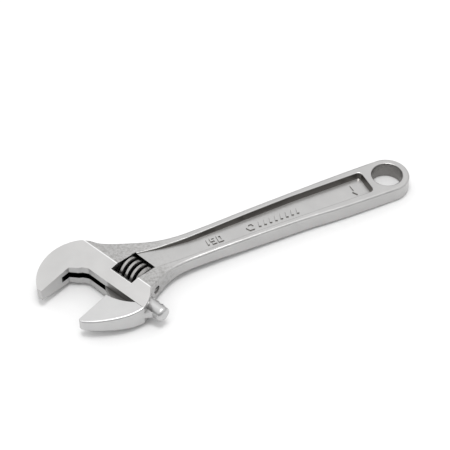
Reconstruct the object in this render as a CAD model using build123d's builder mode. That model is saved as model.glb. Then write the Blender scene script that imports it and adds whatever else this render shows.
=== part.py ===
from build123d import *
from math import cos, pi, radians, sin
import os

os.makedirs("parts", exist_ok=True)

# ---------------------------------------------------------------------------
# Adjustable wrench, 6 inch nominal. Millimetres.
# Origin: centre of the hang hole, on the wrench's middle plane.
# +X runs from the head to the hang hole, +Z is up when the wrench lies flat.
# ---------------------------------------------------------------------------

# Head frame: "p" runs towards the jaw tips, "q" from the fixed to the moving jaw.
head_angle = 22.5
head_x, head_y = -128.32, 8.85
u_dir = Vector(-cos(radians(head_angle)), -sin(radians(head_angle)), 0)
v_dir = Vector(sin(radians(head_angle)), -cos(radians(head_angle)), 0)
head_plane = Plane(origin=(head_x, head_y, 0), x_dir=u_dir, z_dir=(0, 0, 1))


def head_point(p, q, z=0.0):
    """Point of the row frame from head coordinates."""
    return head_plane.from_local_coords(Vector(p, q, z))


def along_v(p, q, z=0.0):
    """Plane at a head point whose normal is the slide direction and whose X is u."""
    return Plane(origin=head_point(p, q, z), x_dir=u_dir, z_dir=v_dir)


def side_plane(q):
    """Plane across the head at q: local X is p, local Y is z."""
    return Plane(origin=head_point(0, q), x_dir=u_dir, z_dir=v_dir * -1)


# Head
half_thick_slide = 4.42
face_taper = 0.105
machined_p = -8.5
tip_p = 18.5
tip_land = 2.1
head_r = 16.5
head_cp, head_cq = 3.8, 6.1
throat_p = 4.4
slide_q0 = 6.1
slide_q1 = 34.9
near_corner_p, near_corner_q = -8.6, 30.2

# Handle
end_r = 8.95
hole_r = 6.1
hole_round = 0.5
rim_half = 3.45
recess_floor = 0.9
recess_draft = 17
handle_round = 1.0
rim_round = 0.4
crown_round = 0.5
near_end_round = 0.3
window_bevel = 0.9
mark_height = 0.42
mark_root = 0.4
emblem_x, emblem_y, emblem_r = -60.5, -0.6, 1.6
bar_x, bar_step, bar_count = -57.0, 2.35, 8
number_x, number_y, number_height = -79.0, -2.4, 2.7

# Slideway
shank_p = -5.1
shank_r = 3.0
bore_r = 3.08
bore_q0 = -4.4
slot_half = 1.35
slot_run_r = 9.0

# Knurl and its window
knurl_p = -12.2
knurl_r = 5.4
root_r = 3.8
pitch = 2.6
knurl_q0, knurl_q1 = 13.1, 23.4
window_p0, window_p1 = -18.1, -6.0
window_q0, window_q1 = 12.9, 23.6
knurl_bore_r = 1.7
spring_bore_r = 2.6
spring_bore_depth = 3.6

# Knurl pin and spring
pin_r = 1.6
pin_hole_r = 1.65
pin_q0, pin_q1 = 7.2, 28.9
pin_hole_q0 = 7.0
wire_r = 0.2
coil_r = 2.1

# Movable jaw, drawn as opened by jaw_open
jaw_open = 20.0
jaw_gap = 0.08
web_half = 1.25
shank_in = 3.6
web_in = 5.0
shank_out = 20.6
shank_end_round = 1.6
tooth_depth = 1.5
pocket_depth = 4.6
pocket_length = 10.8


def head_coords(point):
    """Head coordinates p, q, z of a point of the row frame."""
    return head_plane.to_local_coords(point)


def samples(edge):
    """Three points along an edge."""
    return (edge @ 0.1, edge @ 0.5, edge @ 0.9)


def lies_over(wire, edge):
    """True if an edge stays above or below a plan wire, seen from above."""
    return all(wire.distance_to(Vertex(spot.X, spot.Y, 0)) < 0.05 for spot in samples(edge))


# ---------------------------------------------------------------------------
# Cutters of the body
# ---------------------------------------------------------------------------

# shallow recess of the handle, the same on both faces
with BuildPart() as recess:
    with BuildSketch(Plane.XY.offset(recess_floor)):
        with BuildLine():
            Polyline(
                (-9.6, -5.0),
                (-9.6, 5.1),
                (-40, 4.7),
                (-66, 3.45),
                (-86, 2.5),
                (-97, 2.35),
                (-107.2, 2.6),
                (-103.9, -5.35),
                (-85, -5.15),
                (-60, -4.8),
                (-9.6, -5.0),
            )
        make_face()
        corners = vertices().sort_by(Axis.X)[-2:]
        fillet(corners, radius=1.2)
        bends = vertices().filter_by_position(Axis.X, -98, -39)
        fillet(bends.filter_by_position(Axis.Y, 0, 10), radius=14)
    extrude(amount=6, taper=-recess_draft)
    with BuildSketch(Plane.XZ):
        with BuildLine():
            Polyline((-110, 3.3), (-110, 8), (0, 8), (0, recess_floor), (-81, recess_floor))
            Spline(
                (-81, recess_floor),
                (-88, 1.2),
                (-95, 1.8),
                (-101, 2.55),
                (-106, 3.1),
                (-110, 3.3),
                tangents=[(-1, 0), (-1, 0.03)],
            )
        make_face()
    extrude(amount=20, both=True, mode=Mode.INTERSECT)
    mirror(about=Plane.XY)

# slideway: round bore for the shank, slot for the web with the run-out of its cutter
with BuildPart() as slideway:
    with BuildSketch(along_v(shank_p, bore_q0)):
        Circle(bore_r)
    extrude(amount=60)
    with BuildSketch(head_plane.offset(-slot_half)):
        with Locations((shank_p / 2 + 1, 20)):
            Rectangle(2 - shank_p, 45)
        with Locations((-1.0, 3.0)):
            Circle(slot_run_r)
    extrude(amount=2 * slot_half)


# ---------------------------------------------------------------------------
# Body: one forging with handle, fixed jaw, slideway and knurl window
# ---------------------------------------------------------------------------

tip_point = head_point(tip_p, 0)
land_point = head_point(tip_p + 0.1, -tip_land)
crown_point = head_point(head_cp, head_cq - head_r)
neck_far_point = head_point(-10.9, -1.75)
neck_near_point = head_point(near_corner_p, near_corner_q)
machined_half = half_thick_slide - face_taper * machined_p


def on_handle_rim(edge):
    """Long outer edges of handle and neck, on both faces."""
    spots = samples(edge)
    behind_head = all(head_coords(spot).X < machined_p and abs(spot.Z) > 2.5 for spot in spots)
    beside_crown = edge.center().X > neck_far_point.X
    return behind_head and beside_crown and edge.length > 1 and lies_over(plan_wire, edge)


def on_recess_rim(edge):
    """Upper edges of the recess walls."""
    inside = all(
        -100.5 < spot.X < -7.5 and abs(spot.Y) < 6.3 and abs(spot.Z) > 2.7 for spot in samples(edge)
    )
    across = abs((edge @ 1).X - (edge @ 0).X) < 0.5 and edge.center().X < -20
    return inside and not across


def on_crown(edge):
    """Outer edge of the fixed jaw."""
    centre = head_point(head_cp, head_cq)
    spots = samples(edge)
    return all(
        abs((Vector(spot.X, spot.Y, 0) - centre).length - head_r) < 0.3 and abs(spot.Z) > 2 for spot in spots
    )


def on_near_end(edge):
    """Outer edge of the head beside the shank's way out."""
    spots = [head_coords(spot) for spot in samples(edge)]
    return all(machined_p - 0.2 < spot.X < 0.1 and spot.Y > 29.9 and abs(spot.Z) > 4.3 for spot in spots)


def on_window_front(edge):
    """Edge of the knurl window on the side of the jaws."""
    spots = [head_coords(spot) for spot in samples(edge)]
    return all(abs(spot.X - window_p1) < 0.02 and abs(spot.Z) > 4 for spot in spots)


with BuildPart() as body:
    # plan outline, from the jaw tip round the throat, the near side, the end and the far side
    with BuildSketch():
        with BuildLine() as outline:
            Polyline(
                land_point,
                tip_point,
                head_point(throat_p, 0),
                head_point(2.3, 3.0),
                head_point(1.15, 3.95),
                head_point(0, slide_q0),
                head_point(0, slide_q1),
            )
            ThreePointArc(head_point(0, slide_q1), head_point(-5.1, 33.1), neck_near_point)
            Spline(
                neck_near_point,
                (-104.0, -12.75),
                (-97.5, -9.5),
                (-86.0, -7.9),
                (-65.0, -7.75),
                (-38.0, -8.0),
                (0, -end_r),
                tangents=[(0.86, 0.5), (1, 0)],
            )
            ThreePointArc((0, -end_r), (end_r, 0), (0, end_r))
            Spline(
                (0, end_r),
                (-38.0, 7.85),
                (-62.0, 6.75),
                (-83.0, 6.0),
                (-96.0, 6.75),
                (-107.0, 9.85),
                neck_far_point,
                tangents=[(-1, 0), (-0.72, 0.69)],
            )
            ThreePointArc(neck_far_point, crown_point, land_point)
        make_face()
    plan_wire = outline.wire()
    extrude(amount=7, both=True)
    # thickness along the handle and up to the head
    with BuildSketch(Plane.XZ):
        with BuildLine():
            Polyline((-106, 6.5), (-160, 6.5), (-160, 0), (15, 0), (15, rim_half), (-35, rim_half))
            Spline(
                (-35, rim_half),
                (-62, 3.35),
                (-84, 2.9),
                (-94, 2.95),
                (-101, 3.9),
                (-106, 6.5),
                tangents=[(-1, 0), (-0.5, 0.7)],
            )
        make_face()
        mirror(about=Plane.XZ)
    extrude(amount=40, both=True, mode=Mode.INTERSECT)
    # ground faces of the head taper towards the tips and fall off behind their back edge
    with BuildSketch(side_plane(0)):
        with BuildLine():
            Polyline(
                (machined_p, machined_half),
                (30, half_thick_slide - face_taper * 30),
                (30, 0),
                (-160, 0),
                (-160, 8),
                (-60, 8),
                (-44, 4.0),
            )
            Spline(
                (-44, 4.0),
                (-36, 3.15),
                (-28, 2.95),
                (-21, 3.3),
                (-14, 4.25),
                (machined_p, machined_half),
                tangents=[(1, -0.3), (1, 0.24)],
            )
        make_face()
        mirror(about=Plane.XZ)
    extrude(amount=80, both=True, mode=Mode.INTERSECT)
    add(recess.part, mode=Mode.SUBTRACT)
    add(slideway.part, mode=Mode.SUBTRACT)
    # knurl window
    with BuildSketch(head_plane):
        with Locations(((window_p0 + window_p1) / 2, (window_q0 + window_q1) / 2)):
            Rectangle(window_p1 - window_p0, window_q1 - window_q0)
    extrude(amount=9, both=True, mode=Mode.SUBTRACT)
    # hole of the knurl pin
    with BuildSketch(along_v(knurl_p, pin_hole_q0)):
        Circle(pin_hole_r)
    extrude(amount=40, mode=Mode.SUBTRACT)
    # hang hole
    with BuildSketch():
        Circle(hole_r)
    extrude(amount=9, both=True, mode=Mode.SUBTRACT)
    # rounded edges: hang hole, outside of handle and neck, recess rims, crown, near end
    hole_edges = body.edges().filter_by(GeomType.CIRCLE).filter_by(lambda e: abs(e.radius - hole_r) < 0.01)
    fillet(hole_edges, hole_round)
    fillet(body.edges().filter_by(on_handle_rim), handle_round)
    fillet(body.edges().filter_by(on_recess_rim), rim_round)
    fillet(body.edges().filter_by(on_crown), crown_round)
    fillet(body.edges().filter_by(on_near_end), near_end_round)
    # bevel of the window on the side of the jaws
    chamfer(body.edges().filter_by(on_window_front), window_bevel)
    # raised marks on the recess floor: arrow, size number, hexagon with bars
    hexagon = []
    for corner in range(7):
        turn = pi / 3 * corner
        hexagon.append((emblem_x + emblem_r * cos(turn), emblem_y + emblem_r * sin(turn)))
    for face_side in (0, 180):
        with BuildSketch(Plane.XY.rotated((face_side, 0, 0)).offset(recess_floor - mark_root)):
            with BuildLine():
                Line((-15.0, 2.6), (-14.9, -1.2))
            trace(line_width=0.6)
            with BuildLine():
                Polyline((-16.0, -0.9), (-14.7, -3.0), (-13.7, -0.7), (-16.0, -0.9))
            make_face()
            with BuildLine():
                Polyline(*hexagon)
            trace(line_width=0.7)
            for bar in range(bar_count):
                bar_foot = bar_x + bar_step * bar
                with BuildLine():
                    Line((bar_foot, emblem_y - 1.3), (bar_foot + 0.8, emblem_y + 1.3))
                trace(line_width=1.0)
        extrude(amount=mark_root + mark_height)
        with BuildSketch(Plane.XY.rotated((face_side, 0, 0)).offset(recess_floor - mark_root)):
            with BuildLine():
                Line((number_x, number_y), (number_x, number_y + number_height))
            trace(line_width=0.65)
            with BuildLine():
                Polyline(
                    (number_x + 3.0, number_y + number_height),
                    (number_x + 1.5, number_y + number_height),
                    (number_x + 1.5, number_y + 1.4),
                    (number_x + 3.0, number_y + 1.4),
                    (number_x + 3.0, number_y),
                    (number_x + 1.5, number_y),
                )
            trace(line_width=0.65)
            with BuildLine():
                Polyline(
                    (number_x + 4.4, number_y),
                    (number_x + 5.9, number_y),
                    (number_x + 5.9, number_y + number_height),
                    (number_x + 4.4, number_y + number_height),
                    (number_x + 4.4, number_y),
                )
            trace(line_width=0.65)
        extrude(amount=mark_root + mark_height)

body.part.label = "body"
export_step(body.part, "parts/body.step")


# ---------------------------------------------------------------------------
# Movable jaw: nose, web and round shank with the rack
# ---------------------------------------------------------------------------

with BuildPart() as jaw_nose:
    with BuildSketch(head_plane):
        with BuildLine():
            Polyline(
                (jaw_gap, jaw_open + 15.2),
                (jaw_gap, jaw_open),
                (tip_p, jaw_open),
                (tip_p + 0.2, jaw_open + 1.9),
            )
            Spline(
                (tip_p + 0.2, jaw_open + 1.9),
                (14.8, jaw_open + 6.6),
                (9.0, jaw_open + 11.4),
                (jaw_gap, jaw_open + 15.2),
                tangents=[(-0.5, 0.85), (-1, 0.18)],
            )
        make_face()
    extrude(amount=6, both=True)
    with BuildSketch(side_plane(0)):
        with BuildLine():
            Polyline(
                (-10, half_thick_slide + face_taper * 10),
                (30, half_thick_slide - face_taper * 30),
                (30, 0),
                (-10, 0),
                (-10, half_thick_slide + face_taper * 10),
            )
        make_face()
        mirror(about=Plane.XZ)
    extrude(amount=80, both=True, mode=Mode.INTERSECT)
    # rounded outer edges
    fillet(jaw_nose.edges().filter_by(GeomType.BSPLINE).filter_by(lambda e: e.center().Z > 1), 0.7)
    fillet(jaw_nose.edges().filter_by(GeomType.BSPLINE).filter_by(lambda e: e.center().Z < -1), 1.1)
    # pockets above and below the web clear the throat of the body when the jaws close
    for face_side in (1, -1):
        with BuildSketch(head_plane.offset(face_side * web_half)):
            with BuildLine():
                ThreePointArc(
                    (pocket_depth, jaw_open - 1),
                    (pocket_depth - 1.5, jaw_open + pocket_length / 2),
                    (0, jaw_open + pocket_length),
                )
                Polyline(
                    (0, jaw_open + pocket_length),
                    (-1, jaw_open + pocket_length),
                    (-1, jaw_open - 1),
                    (pocket_depth, jaw_open - 1),
                )
            make_face()
        extrude(amount=face_side * 6, mode=Mode.SUBTRACT)

with BuildPart() as movable_jaw:
    add(jaw_nose.part)
    # web through the slot
    with BuildSketch(head_plane.offset(-web_half)):
        with BuildLine():
            Polyline(
                (shank_p, jaw_open - shank_in),
                (-2.5, jaw_open - web_in),
                (0, jaw_open - web_in - 0.3),
                (2.4, jaw_open),
                (2.4, jaw_open + 3.0),
                (1.0, jaw_open + 14.6),
                (-0.4, jaw_open + 15.4),
                (shank_p, jaw_open + 19.6),
                (shank_p, jaw_open - shank_in),
            )
        make_face()
    extrude(amount=2 * web_half)
    # shank with rounded outer end
    with BuildSketch(along_v(shank_p, jaw_open - shank_in)):
        Circle(shank_r)
    extrude(amount=shank_in + shank_out)
    end_edges = movable_jaw.edges().filter_by(GeomType.CIRCLE).sort_by(lambda e: e.center().Y)[0]
    fillet(end_edges, shank_end_round)
    # rack teeth, their grooves tilted by the lead of the knurl thread
    lead_slope = pitch / (2 * pi * (knurl_r + root_r) / 2)
    for number in range(-1, 9):
        groove_q = (knurl_q0 + knurl_q1) / 2 + number * pitch
        groove_normal = Vector(0, 0, 1) - v_dir * lead_slope
        with BuildSketch(Plane(origin=head_point(shank_p, groove_q), x_dir=u_dir, z_dir=groove_normal)):
            with BuildLine():
                Polyline(
                    (-shank_r - 1, -1.25),
                    (-shank_r + tooth_depth, -0.68),
                    (-shank_r + tooth_depth, 0.68),
                    (-shank_r - 1, 1.25),
                    (-shank_r - 1, -1.25),
                )
            make_face()
        extrude(amount=4, both=True, mode=Mode.SUBTRACT)

movable_jaw.part.label = "movable_jaw"
export_step(movable_jaw.part, "parts/movable_jaw.step")


# ---------------------------------------------------------------------------
# Knurl: a worm with one rounded thread, bored for the pin and the spring
# ---------------------------------------------------------------------------

knurl_length = knurl_q1 - knurl_q0
knurl_mid = (knurl_q0 + knurl_q1) / 2
crest_half_angle = 0.5 / pitch * 360
foot_half_angle = 0.95 / pitch * 360


def polar(radius, angle):
    """Point of a section across the knurl."""
    return (radius * cos(radians(angle)), radius * sin(radians(angle)))


# section across the axis: the thread rises once in a full turn
start_angle = -360 * (knurl_length / 2) / pitch
with BuildSketch(Plane.XY.rotated((0, 0, start_angle))) as thread_section:
    with BuildLine():
        CenterArc((0, 0), knurl_r, -crest_half_angle, 2 * crest_half_angle)
        CenterArc((0, 0), root_r, foot_half_angle, 360 - 2 * foot_half_angle)
        for side in (1, -1):
            Spline(
                polar(knurl_r, side * crest_half_angle),
                polar((knurl_r + root_r) / 2, side * (crest_half_angle + foot_half_angle) / 2),
                polar(root_r, side * foot_half_angle),
            )
    make_face()
threaded_bar = Solid.extrude_linear_with_rotation(
    thread_section.sketch.faces()[0], (0, 0, 0), (0, 0, knurl_length), 360 * knurl_length / pitch
)

with BuildPart() as knurl_blank:
    add(threaded_bar)
    with BuildSketch(Plane.XZ):
        with BuildLine():
            Polyline(
                (knurl_bore_r, 0),
                (4.7, 0),
                (knurl_r + 0.1, 0.8),
                (knurl_r + 0.1, knurl_length - 0.8),
                (4.7, knurl_length),
                (spring_bore_r, knurl_length),
                (spring_bore_r, knurl_length - spring_bore_depth),
                (knurl_bore_r, knurl_length - spring_bore_depth),
                (knurl_bore_r, 0),
            )
        make_face()
    revolve(axis=Axis.Z, mode=Mode.INTERSECT)

knurl_part = along_v(knurl_p, knurl_q0).location * knurl_blank.part
knurl_part.label = "knurl"
export_step(knurl_part, "parts/knurl.step")


# ---------------------------------------------------------------------------
# Knurl pin and spring
# ---------------------------------------------------------------------------

with BuildPart() as knurl_pin:
    with BuildSketch(along_v(knurl_p, pin_q0)):
        Circle(pin_r)
    extrude(amount=pin_q1 - pin_q0)
    chamfer(knurl_pin.edges().filter_by(GeomType.CIRCLE), 0.25)
    with BuildSketch(along_v(knurl_p, pin_q1 - 0.8)):
        Rectangle(4, 0.6)
    extrude(amount=2, mode=Mode.SUBTRACT)
knurl_pin.part.label = "knurl_pin"
export_step(knurl_pin.part, "parts/knurl_pin.step")

spring_length = spring_bore_depth + window_q1 - knurl_q1 - 0.15
spring_turns = 4
with BuildPart() as spring_blank:
    spring_pitch = (spring_length - 2 * wire_r) / spring_turns
    with BuildLine() as spring_path:
        Helix(spring_pitch, spring_length - 2 * wire_r, coil_r, center=(0, 0, wire_r))
    with BuildSketch(Plane(origin=(coil_r, 0, wire_r), x_dir=(1, 0, 0), z_dir=(0, -1, 0))):
        Circle(wire_r)
    sweep(path=spring_path.line, is_frenet=True)
spring_part = along_v(knurl_p, knurl_q1 - spring_bore_depth + 0.08).location * spring_blank.part
spring_part.label = "knurl_spring"
export_step(spring_part, "parts/knurl_spring.step")
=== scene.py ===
"""Adjustable wrench lying on a white table. Metres, in the row frame: the hang hole's centre is
the origin, +X runs along the handle away from the head, +Z is up."""

import math

import bpy
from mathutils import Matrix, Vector


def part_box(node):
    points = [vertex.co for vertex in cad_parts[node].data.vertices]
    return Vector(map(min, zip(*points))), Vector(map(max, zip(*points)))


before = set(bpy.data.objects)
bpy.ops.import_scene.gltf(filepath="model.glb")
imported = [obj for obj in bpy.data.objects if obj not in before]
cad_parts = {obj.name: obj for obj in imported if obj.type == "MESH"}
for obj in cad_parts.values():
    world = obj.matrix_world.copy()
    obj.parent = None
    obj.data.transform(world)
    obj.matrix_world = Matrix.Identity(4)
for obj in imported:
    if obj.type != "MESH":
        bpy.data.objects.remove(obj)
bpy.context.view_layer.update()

MM = 0.001
ORIGIN = (0, 0, 0)
ALONG_HANDLE = (1, 0, 0)
ACROSS_HANDLE = (0, 1, 0)
UP = (0, 0, 1)
HEAD_ANGLE = math.radians(22.5)
HEAD_ORIGIN = Vector((-128.32 * MM, 8.85 * MM, 0))
JAW_AXIS = Vector((-math.cos(HEAD_ANGLE), -math.sin(HEAD_ANGLE), 0))
SLIDE_AXIS = Vector((math.sin(HEAD_ANGLE), -math.cos(HEAD_ANGLE), 0))

# places on the head: p along JAW_AXIS and q along SLIDE_AXIS, both from HEAD_ORIGIN
GROUND_EDGE_P = -8.5 * MM
CROWN_P, CROWN_Q = 3.8 * MM, 6.1 * MM
SLOT_REACH = 15.3 * MM
SLOT_HALF = 1.37 * MM
KNURL_P = -12.2 * MM
KNURL_ROOT, KNURL_CREST = 4.1 * MM, 5.2 * MM
WINDOW_P0, WINDOW_P1 = -18.15 * MM, -5.95 * MM
WINDOW_Q0, WINDOW_Q1 = 12.85 * MM, 23.65 * MM

# places on the handle
HOLE_WALL = 6.15 * MM
RECESS_X0, RECESS_X1 = -107 * MM, -8.6 * MM
RECESS_FLARE = 0.019
HANDLE_HALF = 3.45 * MM


# ---------------------------------------------------------------------------
# Shader helpers
# ---------------------------------------------------------------------------


class Shader:
    """A material's node tree with short calls for the nodes used here."""

    def __init__(self, name):
        self.material = bpy.data.materials.new(name)
        self.material.use_nodes = True
        self.nodes = self.material.node_tree.nodes
        self.links = self.material.node_tree.links
        self.surface = self.nodes["Principled BSDF"]
        coordinates = self.nodes.new("ShaderNodeTexCoord")
        self.place = coordinates.outputs["Object"]
        self.facing = coordinates.outputs["Normal"]

    def feed(self, socket, value):
        """Links an output to a socket, or sets the socket to a constant."""
        if isinstance(value, bpy.types.NodeSocket):
            self.links.new(value, socket)
        else:
            socket.default_value = value

    def math(self, operation, first, second=0.0):
        """Result of a math node."""
        node = self.nodes.new("ShaderNodeMath")
        node.operation = operation
        self.feed(node.inputs[0], first)
        self.feed(node.inputs[1], second)
        return node.outputs[0]

    def scaled(self, scale, turn=(0, 0, 0)):
        """Object coordinates in millimetres, turned and then stretched by scale."""
        turned = self.nodes.new("ShaderNodeMapping")
        turned.inputs["Rotation"].default_value = turn
        turned.inputs["Scale"].default_value = (1000, 1000, 1000)
        self.feed(turned.inputs["Vector"], self.place)
        stretched = self.nodes.new("ShaderNodeMapping")
        stretched.inputs["Scale"].default_value = scale
        self.feed(stretched.inputs["Vector"], turned.outputs[0])
        return stretched.outputs[0]

    def noise(self, vector, scale, detail=3.0, roughness=0.55):
        """Fractal noise between zero and one."""
        node = self.nodes.new("ShaderNodeTexNoise")
        node.inputs["Scale"].default_value = scale
        node.inputs["Detail"].default_value = detail
        node.inputs["Roughness"].default_value = roughness
        self.feed(node.inputs["Vector"], vector)
        return node.outputs["Fac"]

    def ramp(self, value, low, high, out_low, out_high):
        """Value from low to high becomes out_low to out_high, smoothly and clamped."""
        node = self.nodes.new("ShaderNodeMapRange")
        node.interpolation_type = "SMOOTHSTEP"
        self.feed(node.inputs["Value"], value)
        node.inputs["From Min"].default_value = low
        node.inputs["From Max"].default_value = high
        self.feed(node.inputs["To Min"], out_low)
        self.feed(node.inputs["To Max"], out_high)
        return node.outputs["Result"]

    def blend(self, share, first, second):
        """Number between first and second by share."""
        node = self.nodes.new("ShaderNodeMix")
        node.data_type = "FLOAT"
        self.feed(node.inputs[0], share)
        self.feed(node.inputs[2], first)
        self.feed(node.inputs[3], second)
        return node.outputs[0]

    def tint(self, share, first, second):
        """Colour between first and second by share."""
        node = self.nodes.new("ShaderNodeMix")
        node.data_type = "RGBA"
        self.feed(node.inputs[0], share)
        self.feed(node.inputs[6], first)
        self.feed(node.inputs[7], second)
        return node.outputs[2]

    def band(self, value, low, high, soft):
        """One between low and high and zero outside, over soft edges."""
        rise = self.ramp(value, low - soft, low, 0.0, 1.0)
        fall = self.ramp(value, high, high + soft, 1.0, 0.0)
        return self.math("MULTIPLY", rise, fall)

    def all_of(self, *shares):
        """Product of shares."""
        total = shares[0]
        for share in shares[1:]:
            total = self.math("MULTIPLY", total, share)
        return total

    def length(self, first, second):
        """Length of the hypotenuse over two legs."""
        squares = (self.math("MULTIPLY", first, first), self.math("MULTIPLY", second, second))
        return self.math("SQRT", self.math("ADD", *squares))

    def upright(self):
        """One on walls and zero on faces that look up or down."""
        return self.ramp(self.math("ABSOLUTE", self.part_of(self.facing, UP, ORIGIN)), 0.25, 0.6, 1.0, 0.0)

    def from_middle(self):
        """Height above or below the middle plane."""
        return self.math("ABSOLUTE", self.part_of(self.place, UP, ORIGIN))

    def part_of(self, vector, direction, origin):
        """Distance of a point along a direction from an origin."""
        shift = self.nodes.new("ShaderNodeVectorMath")
        shift.operation = "SUBTRACT"
        self.feed(shift.inputs[0], vector)
        shift.inputs[1].default_value = origin
        dot = self.nodes.new("ShaderNodeVectorMath")
        dot.operation = "DOT_PRODUCT"
        self.feed(dot.inputs[0], shift.outputs[0])
        dot.inputs[1].default_value = direction
        return dot.outputs["Value"]

    def bump(self, height, strength, distance, below=None):
        """Normal raised by a height, on top of the normal below."""
        node = self.nodes.new("ShaderNodeBump")
        self.feed(node.inputs["Strength"], strength)
        node.inputs["Distance"].default_value = distance
        self.feed(node.inputs["Height"], height)
        if below is not None:
            self.feed(node.inputs["Normal"], below)
        return node.outputs["Normal"]

    def set(self, **values):
        """Feeds the surface's sockets and returns the finished material."""
        for name, value in values.items():
            self.feed(self.surface.inputs[name.replace("_", " ")], value)
        return self.material


def grey(level, warmth=0.0):
    """Linear grey with a little warmth."""
    return (level * (1 + warmth), level, level * (1 - warmth), 1)


# ---------------------------------------------------------------------------
# Materials
# ---------------------------------------------------------------------------


def body_metal():
    s = Shader("satin_chrome_forging")
    along_jaws = s.part_of(s.place, JAW_AXIS, HEAD_ORIGIN)
    across_jaws = s.part_of(s.place, SLIDE_AXIS, HEAD_ORIGIN)
    along_handle = s.part_of(s.place, ALONG_HANDLE, ORIGIN)
    across_handle = s.part_of(s.place, ACROSS_HANDLE, ORIGIN)
    height = s.from_middle()
    steep = s.upright()
    # regions: ground faces of the head, rough neck without the recess, wall of the hang hole
    ground = s.ramp(along_jaws, GROUND_EDGE_P - 0.15 * MM, GROUND_EDGE_P + 0.15 * MM, 0.0, 1.0)
    neck = s.ramp(along_handle, -104 * MM, -88 * MM, 1.0, 0.0)
    recess_floor = s.all_of(
        s.band(across_handle, -5.9 * MM, 3.0 * MM, 0.3 * MM),
        s.ramp(along_jaws, -18.2 * MM, -17.8 * MM, 0.7, 0.0),
    )
    rough_share = s.all_of(neck, s.math("SUBTRACT", 1.0, ground), s.math("SUBTRACT", 1.0, recess_floor))
    hole = s.ramp(s.length(along_handle, across_handle), HOLE_WALL, 6.5 * MM, 1.0, 0.0)
    # fine plate grain, forging scale on the neck, long brush marks on the ground head
    grain = s.noise(s.scaled((1, 1, 1)), 4.0, 4.0)
    lumps = s.noise(s.scaled((1, 1, 1)), 0.9, 5.0, 0.65)
    brushing = s.noise(s.scaled((0.25, 3.0, 1), (0, 0, -HEAD_ANGLE)), 2.6, 3.0)
    clouds = s.noise(s.scaled((1, 1, 1)), 0.12, 2.0)
    dirt = s.ramp(lumps, 0.42, 0.66, 0.0, 1.0)
    # shaded places: slot and bore (short of the crown's outer wall), knurl window
    crown_distance = s.length(
        s.math("SUBTRACT", along_jaws, CROWN_P),
        s.math("SUBTRACT", s.math("MINIMUM", across_jaws, CROWN_Q), CROWN_Q),
    )
    slot_area = s.all_of(
        s.band(along_jaws, -9 * MM, 8.1 * MM, 0.1 * MM),
        s.band(across_jaws, -7.5 * MM, 29 * MM, 0.5 * MM),
        s.ramp(crown_distance, SLOT_REACH, SLOT_REACH + 0.3 * MM, 1.0, 0.0),
    )
    slot = s.math("MULTIPLY", slot_area, s.ramp(height, SLOT_HALF, SLOT_HALF + 0.08 * MM, 1.0, 0.0))
    window = s.all_of(
        s.band(along_jaws, WINDOW_P0, WINDOW_P1, 0.05 * MM),
        s.band(across_jaws, WINDOW_Q0, WINDOW_Q1, 0.05 * MM),
        s.ramp(height, 2.6 * MM, 4.6 * MM, 1.0, 0.0),
    )
    # painted shade on the recess walls (the far one slants with the handle) and on the slideway face
    far_side = s.math("SUBTRACT", across_handle, s.math("MULTIPLY", along_handle, RECESS_FLARE))
    recess_wall_shade = s.all_of(
        steep,
        s.band(along_handle, RECESS_X0, RECESS_X1, 0.2 * MM),
        s.band(across_handle, -6.4 * MM, 8 * MM, 0.2 * MM),
        s.ramp(far_side, 6.3 * MM, 6.5 * MM, 1.0, 0.0),
        s.ramp(height, 3.0 * MM, 3.4 * MM, 1.0, 0.3),
    )
    slideway_shade = s.all_of(
        s.band(along_jaws, -0.05 * MM, 0.4 * MM, 0.02 * MM),
        s.band(across_jaws, 17 * MM, 33 * MM, 1.5 * MM),
    )
    # painted highlights: near-white lines at the back of the ground faces and at the front of the knurl
    # window
    outer_face = s.ramp(height, 4.2 * MM, 4.6 * MM, 0.0, 1.0)
    ground_edge_highlight = s.all_of(s.band(along_jaws, -8.65 * MM, -8.35 * MM, 0.2 * MM), outer_face)
    window_edge_highlight = s.all_of(
        s.band(along_jaws, -5.2 * MM, -5.0 * MM, 0.12 * MM),
        s.band(across_jaws, WINDOW_Q0 + 0.05 * MM, WINDOW_Q1 - 0.05 * MM, 0.2 * MM),
        outer_face,
    )
    painted_highlight = s.math("MAXIMUM", ground_edge_highlight, window_edge_highlight)
    base = s.tint(clouds, grey(0.53, 0.006), grey(0.63, 0.010))
    base = s.tint(s.all_of(dirt, rough_share, 0.55), base, grey(0.30, 0.04))
    # painted shade: faces that look sideways are painted darker than faces that look up or down
    base = s.tint(s.math("MULTIPLY", steep, 0.30), base, grey(0.28))
    # painted shade: the recess walls are painted dark brown
    base = s.tint(s.math("MULTIPLY", recess_wall_shade, 0.80), base, grey(0.12, 0.10))
    # painted shade: the slideway face beside the jaw is painted dark
    base = s.tint(s.math("MULTIPLY", slideway_shade, 0.7), base, grey(0.12, 0.04))
    # painted shade: the wall of the hang hole is painted dark, on top of its own rough bump
    base = s.tint(s.math("MULTIPLY", hole, 0.75), base, grey(0.16, 0.05))
    # painted highlight: near-white lines along those edges
    base = s.tint(s.math("MULTIPLY", painted_highlight, 0.9), base, grey(0.98))
    # painted shade: slot, bore and knurl window are painted near black
    base = s.tint(slot, base, grey(0.012))
    base = s.tint(window, base, grey(0.03, 0.05))
    rough = s.blend(grain, 0.24, 0.36)
    rough = s.blend(ground, rough, s.blend(brushing, 0.34, 0.46))
    rough = s.blend(rough_share, rough, s.blend(lumps, 0.30, 0.48))
    normal = s.bump(grain, 0.10, 0.05 * MM)
    normal = s.bump(lumps, s.math("MULTIPLY", rough_share, 0.55), 0.35 * MM, normal)
    normal = s.bump(brushing, s.math("MULTIPLY", ground, 0.10), 0.05 * MM, normal)
    normal = s.bump(lumps, s.math("MULTIPLY", hole, 0.8), 0.4 * MM, normal)
    return s.set(Base_Color=base, Metallic=1.0, Roughness=rough, Normal=normal)


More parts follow.
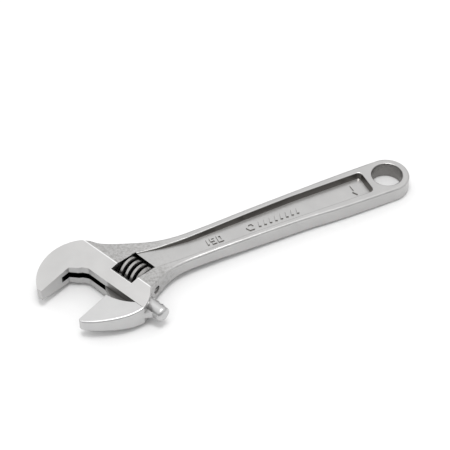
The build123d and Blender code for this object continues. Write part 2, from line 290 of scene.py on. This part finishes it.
def jaw_metal():
    s = Shader("satin_chrome_jaw")
    across = s.part_of(s.place, JAW_AXIS, HEAD_ORIGIN)
    nose = s.ramp(across, 3.0 * MM, 6.0 * MM, 0.0, 1.0)
    brushing = s.noise(s.scaled((0.3, 3.0, 2.2), (0, 0, -HEAD_ANGLE)), 2.6, 3.0)
    grain = s.noise(s.scaled((1, 1, 1)), 4.0, 4.0)
    clouds = s.noise(s.scaled((1, 1, 1)), 0.15, 2.0)
    along_slide = s.part_of(s.place, SLIDE_AXIS, HEAD_ORIGIN)
    # painted shade in the pockets beside the web
    pocket_shade = s.all_of(
        s.band(across, -2.5 * MM, 4.7 * MM, 0.1 * MM),
        s.band(along_slide, 12 * MM, 32 * MM, 0.5 * MM),
        s.ramp(s.from_middle(), 1.3 * MM, 1.6 * MM, 1.0, 0.0),
    )
    base = s.tint(clouds, grey(0.57), grey(0.64, 0.004))
    # painted shade: the jaw's sideways faces are painted darker than faces that look up or down
    base = s.tint(s.math("MULTIPLY", s.upright(), 0.18), base, grey(0.30))
    # painted shade: the pockets beside the web are painted dark
    base = s.tint(s.math("MULTIPLY", pocket_shade, 0.8), base, grey(0.14, 0.04))
    rough = s.blend(nose, s.blend(brushing, 0.26, 0.42), s.blend(grain, 0.30, 0.42))
    normal = s.bump(brushing, 0.14, 0.06 * MM)
    normal = s.bump(grain, 0.08, 0.05 * MM, normal)
    return s.set(Base_Color=base, Metallic=1.0, Roughness=rough, Normal=normal)


def knurl_metal():
    s = Shader("dark_satin_knurl_shaded_roots")
    grain = s.noise(s.scaled((1, 1, 1)), 3.5, 4.0)
    clouds = s.noise(s.scaled((1, 1, 1)), 0.5, 2.0)
    from_axis = s.math("SUBTRACT", s.part_of(s.place, JAW_AXIS, HEAD_ORIGIN), KNURL_P)
    radius = s.length(from_axis, s.part_of(s.place, UP, ORIGIN))
    # painted shade: the thread's roots are painted near black, while the crests keep the knurl's own
    # darker satin tone
    crest = s.ramp(radius, KNURL_ROOT, KNURL_CREST, 0.0, 1.0)
    base = s.tint(crest, grey(0.03, 0.02), s.tint(clouds, grey(0.38, 0.02), grey(0.52, 0.02)))
    normal = s.bump(grain, 0.15, 0.06 * MM)
    return s.set(Base_Color=base, Metallic=1.0, Roughness=s.blend(grain, 0.22, 0.34), Normal=normal)


def plain_steel(name, level):
    s = Shader(name)
    turning = s.noise(s.scaled((0.5, 0.5, 4)), 3.0, 3.0)
    base = s.tint(turning, grey(level * 0.85, 0.01), grey(level, 0.01))
    normal = s.bump(turning, 0.12, 0.05 * MM)
    return s.set(Base_Color=base, Metallic=1.0, Roughness=s.blend(turning, 0.30, 0.44), Normal=normal)


finishes = {
    "body": body_metal(),
    "movable_jaw": jaw_metal(),
    "knurl": knurl_metal(),
    "knurl_pin": plain_steel("turned_pin_steel", 0.45),
    "knurl_spring": plain_steel("spring_wire", 0.50),
}
for node, material in finishes.items():
    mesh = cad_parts[node].data
    mesh.materials.clear()
    mesh.materials.append(material)


# ---------------------------------------------------------------------------
# Floor, world, lights and camera
# ---------------------------------------------------------------------------

# the wrench lies on the knurl and on the end of its handle, so the floor leans a little
FLOOR_SIZE = 6
FLOOR_GAP = 0.05 * MM
knurl_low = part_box("knurl")[0]
knurl_x = (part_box("knurl")[0].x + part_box("knurl")[1].x) / 2
lean = math.atan2(-HANDLE_HALF - knurl_low.z, -knurl_x)
bpy.ops.mesh.primitive_plane_add(
    size=FLOOR_SIZE, location=(knurl_x, 0, knurl_low.z - FLOOR_GAP), rotation=(0, -lean, 0)
)
floor = bpy.context.object
floor.name = "floor"
paper = Shader("white_paper")
fibre = paper.noise(paper.scaled((1, 1, 1)), 0.02, 2.0)
floor.data.materials.append(
    paper.set(
        Base_Color=paper.tint(fibre, grey(0.90), grey(0.92)),
        Roughness=paper.blend(fibre, 0.85, 0.95),
        Specular_IOR_Level=0.1,
    )
)

CAMERA_AZIMUTH = math.radians(-25.4)
CAMERA_ELEVATION = math.radians(46.26)
CAMERA_DISTANCE = 578 * MM
CAMERA_LENS, CAMERA_SENSOR = 119.5, 36
TARGET = Vector((-68.6 * MM, 5.38 * MM, 0))
LAMP_AIM = Vector((-70 * MM, 0, 0))
to_camera = Vector(
    (
        math.sin(CAMERA_AZIMUTH) * math.cos(CAMERA_ELEVATION),
        -math.cos(CAMERA_AZIMUTH) * math.cos(CAMERA_ELEVATION),
        math.sin(CAMERA_ELEVATION),
    )
)


def sky_ramp(tree, value, low_high, out_low_high):
    """Value from low to high becomes out low to out high, smoothly and clamped."""
    node = tree.nodes.new("ShaderNodeMapRange")
    node.interpolation_type = "SMOOTHSTEP"
    tree.links.new(value, node.inputs["Value"])
    node.inputs["From Min"].default_value, node.inputs["From Max"].default_value = low_high
    node.inputs["To Min"].default_value, node.inputs["To Max"].default_value = out_low_high
    return node.outputs["Result"]


# world: bright overhead and behind the wrench, darker behind the camera
world = bpy.data.worlds.new("studio")
world.use_nodes = True
bpy.context.scene.world = world
tree = world.node_tree
background = tree.nodes["Background"]
direction = tree.nodes.new("ShaderNodeTexCoord").outputs["Generated"]
dot = tree.nodes.new("ShaderNodeVectorMath")
dot.operation = "DOT_PRODUCT"
tree.links.new(direction, dot.inputs[0])
dot.inputs[1].default_value = Vector((-to_camera.x, -to_camera.y, to_camera.z))
tone = sky_ramp(tree, dot.outputs["Value"], (-0.6, 0.1), (0.15, 0.95))
# and darker near the horizon
apart = tree.nodes.new("ShaderNodeSeparateXYZ")
tree.links.new(direction, apart.inputs[0])
horizon = sky_ramp(tree, apart.outputs["Z"], (0.05, 0.50), (0.25, 1.0))
product = tree.nodes.new("ShaderNodeMath")
product.operation = "MULTIPLY"
tree.links.new(tone, product.inputs[0])
tree.links.new(horizon, product.inputs[1])
tree.links.new(product.outputs[0], background.inputs["Strength"])
background.inputs["Color"].default_value = (1.0, 1.0, 1.0, 1)


def softbox(name, place, size, power):
    """Square area light that looks at the middle of the wrench."""
    data = bpy.data.lights.new(name, "AREA")
    data.shape = "SQUARE"
    data.size = size
    data.energy = power
    lamp = bpy.data.objects.new(name, data)
    lamp.location = place
    lamp.rotation_euler = (LAMP_AIM - Vector(place)).to_track_quat("-Z", "Y").to_euler()
    bpy.context.scene.collection.objects.link(lamp)


softbox("key", (-0.10, -0.05, 1.0), 0.35, 3.7)
softbox("rim", (-0.25, 1.0, 0.25), 0.30, 0.6)

camera_data = bpy.data.cameras.new("camera")
camera_data.sensor_fit = "HORIZONTAL"
camera_data.sensor_width = CAMERA_SENSOR
camera_data.lens = CAMERA_LENS
camera = bpy.data.objects.new("camera", camera_data)
camera.location = TARGET + to_camera * CAMERA_DISTANCE
camera.rotation_euler = (-to_camera).to_track_quat("-Z", "Y").to_euler()
bpy.context.scene.collection.objects.link(camera)
bpy.context.scene.camera = camera
bpy.context.scene.view_settings.view_transform = "Standard"
